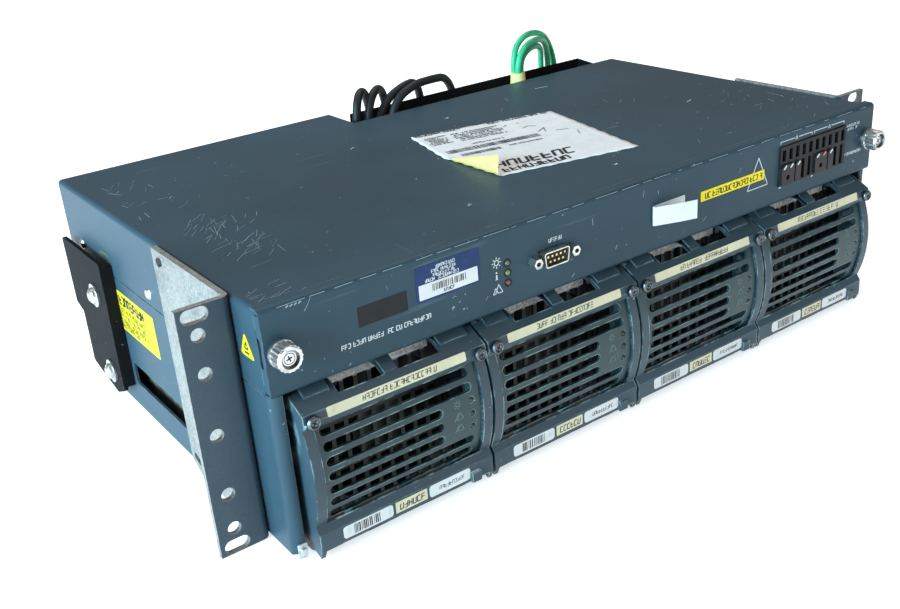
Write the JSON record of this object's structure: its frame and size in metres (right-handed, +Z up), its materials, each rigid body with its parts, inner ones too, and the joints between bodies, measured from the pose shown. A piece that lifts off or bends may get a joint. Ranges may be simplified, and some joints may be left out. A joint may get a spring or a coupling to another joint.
{
  "type": "rack power shelf",
  "caption": "Rack-mounted power shelf with slide-in converter modules under a control panel, curved louvred handles, mounting ears and rear wiring guard.",
  "frame": {"origin": "on the underside, midway between the side walls, in the plane of the rack rails where the backs of the ears bear", "axes": "+X to the right seen from the front, +Y to the rear, +Z up; the control panel and the handles face -Y"},
  "size_m": [0.4826, 0.2762, 0.1603],
  "materials": {
    "dark_paint": "satin blue-grey paint",
    "zinc": "galvanised, mottled",
    "inner_steel": "plain zinc plate",
    "bright_steel": "plated, worn",
    "black_steel": "black powder coat",
    "handle_paint": "dark blue-grey paint, edges worn bright",
    "grille_paint": "dark green-grey paint, crests rubbed",
    "black_plastic": "moulded, dull",
    "grey_plastic": "moulded, dull",
    "board": "lacquered circuit board",
    "lamp": "clear tinted lens",
    "connector_metal": "tinned",
    "black_rubber": "lead sheath",
    "green_rubber": "glossy lead sheath",
    "yellow_plastic": "crimp sleeve"
  },
  "bodies": {
    "shelf": {"base_pan": "dark_paint", "top_cover": "dark_paint", "front_panel": "dark_paint", "mid_deck": "inner_steel", "bay_walls": "inner_steel", "rear_panel": "dark_paint", "backplane": "board", "module_sockets": "black_plastic", "terminal_guard": "black_steel", "terminal_block": "black_plastic", "ear_left": "zinc", "ear_right": "zinc", "ear_screws": "bright_steel", "cover_rivets": "bright_steel", "side_bracket": "black_steel", "bracket_screws": "bright_steel", "serial_connector": "connector_metal", "jackscrews": "bright_steel", "control_board": "board", "status_leds": "lamp", "fuse_block": "black_plastic", "earth_stud": "bright_steel", "earth_lug": "bright_steel", "lug_sleeve": "yellow_plastic", "black_leads": "black_rubber", "green_leads": "green_rubber"},
    "thumbscrew_left_body": {"thumbscrew_left": "bright_steel"},
    "thumbscrew_right_body": {"thumbscrew_right": "bright_steel"},
    "fuse_a1_body": {"fuse_a1": "grey_plastic"},
    "fuse_a2_body": {"fuse_a2": "grey_plastic"},
    "fuse_b1_body": {"fuse_b1": "grey_plastic"},
    "fuse_b2_body": {"fuse_b2": "grey_plastic"},
    "module_1": {"case_1": "zinc", "fan_frame_1": "black_plastic", "power_board_1": "board"},
    "fan_1": {"fan_rotor_1": "black_plastic"},
    "handle_1": {"handle_frame_1": "handle_paint", "grille_1": "grille_paint", "captive_screws_1": "bright_steel"},
    "module_2": {"case_2": "zinc", "fan_frame_2": "black_plastic", "power_board_2": "board"},
    "fan_2": {"fan_rotor_2": "black_plastic"},
    "handle_2": {"handle_frame_2": "handle_paint", "grille_2": "grille_paint", "captive_screws_2": "bright_steel"},
    "module_3": {"case_3": "zinc", "fan_frame_3": "black_plastic", "power_board_3": "board"},
    "fan_3": {"fan_rotor_3": "black_plastic"},
    "handle_3": {"handle_frame_3": "handle_paint", "grille_3": "grille_paint", "captive_screws_3": "bright_steel"},
    "module_4": {"case_4": "zinc", "fan_frame_4": "black_plastic", "power_board_4": "board"},
    "fan_4": {"fan_rotor_4": "black_plastic"},
    "handle_4": {"handle_frame_4": "handle_paint", "grille_4": "grille_paint", "captive_screws_4": "bright_steel"}
  },
  "joints": [
    {"name": "thumbscrew_left_turn", "type": "hinge", "parent": "shelf", "child": "thumbscrew_left_body", "pos_m": [-0.208, -0.029, 0.109], "axis": [0, 1, 0], "continuous": true},
    {"name": "thumbscrew_right_turn", "type": "hinge", "parent": "shelf", "child": "thumbscrew_right_body", "pos_m": [0.208, -0.029, 0.109], "axis": [0, 1, 0], "continuous": true},
    {"name": "fuse_a1_pull", "type": "slide", "parent": "shelf", "child": "fuse_a1_body", "axis": [0, -1, 0], "range_m": [0, 0.012]},
    {"name": "fuse_a2_pull", "type": "slide", "parent": "shelf", "child": "fuse_a2_body", "axis": [0, -1, 0], "range_m": [0, 0.012]},
    {"name": "fuse_b1_pull", "type": "slide", "parent": "shelf", "child": "fuse_b1_body", "axis": [0, -1, 0], "range_m": [0, 0.012]},
    {"name": "fuse_b2_pull", "type": "slide", "parent": "shelf", "child": "fuse_b2_body", "axis": [0, -1, 0], "range_m": [0, 0.012]},
    {"name": "module_1_slide", "type": "slide", "parent": "shelf", "child": "module_1", "axis": [0, -1, 0], "range_m": [0, 0.2]},
    {"name": "handle_1_hinge", "type": "hinge", "parent": "module_1", "child": "handle_1", "pos_m": [-0.1548, -0.024, 0.007], "axis": [1, 0, 0], "range_deg": [0, 60]},
    {"name": "fan_1_spin", "type": "hinge", "parent": "module_1", "child": "fan_1", "pos_m": [-0.1548, -0.006, 0.04365], "axis": [0, 1, 0], "continuous": true},
    {"name": "module_2_slide", "type": "slide", "parent": "shelf", "child": "module_2", "axis": [0, -1, 0], "range_m": [0, 0.2]},
    {"name": "handle_2_hinge", "type": "hinge", "parent": "module_2", "child": "handle_2", "pos_m": [-0.0516, -0.024, 0.007], "axis": [1, 0, 0], "range_deg": [0, 60]},
    {"name": "fan_2_spin", "type": "hinge", "parent": "module_2", "child": "fan_2", "pos_m": [-0.0516, -0.006, 0.04365], "axis": [0, 1, 0], "continuous": true},
    {"name": "module_3_slide", "type": "slide", "parent": "shelf", "child": "module_3", "axis": [0, -1, 0], "range_m": [0, 0.2]},
    {"name": "handle_3_hinge", "type": "hinge", "parent": "module_3", "child": "handle_3", "pos_m": [0.0516, -0.024, 0.007], "axis": [1, 0, 0], "range_deg": [0, 60]},
    {"name": "fan_3_spin", "type": "hinge", "parent": "module_3", "child": "fan_3", "pos_m": [0.0516, -0.006, 0.04365], "axis": [0, 1, 0], "continuous": true},
    {"name": "module_4_slide", "type": "slide", "parent": "shelf", "child": "module_4", "axis": [0, -1, 0], "range_m": [0, 0.2]},
    {"name": "handle_4_hinge", "type": "hinge", "parent": "module_4", "child": "handle_4", "pos_m": [0.1548, -0.024, 0.007], "axis": [1, 0, 0], "range_deg": [0, 60]},
    {"name": "fan_4_spin", "type": "hinge", "parent": "module_4", "child": "fan_4", "pos_m": [0.1548, -0.006, 0.04365], "axis": [0, 1, 0], "continuous": true}
  ]
}
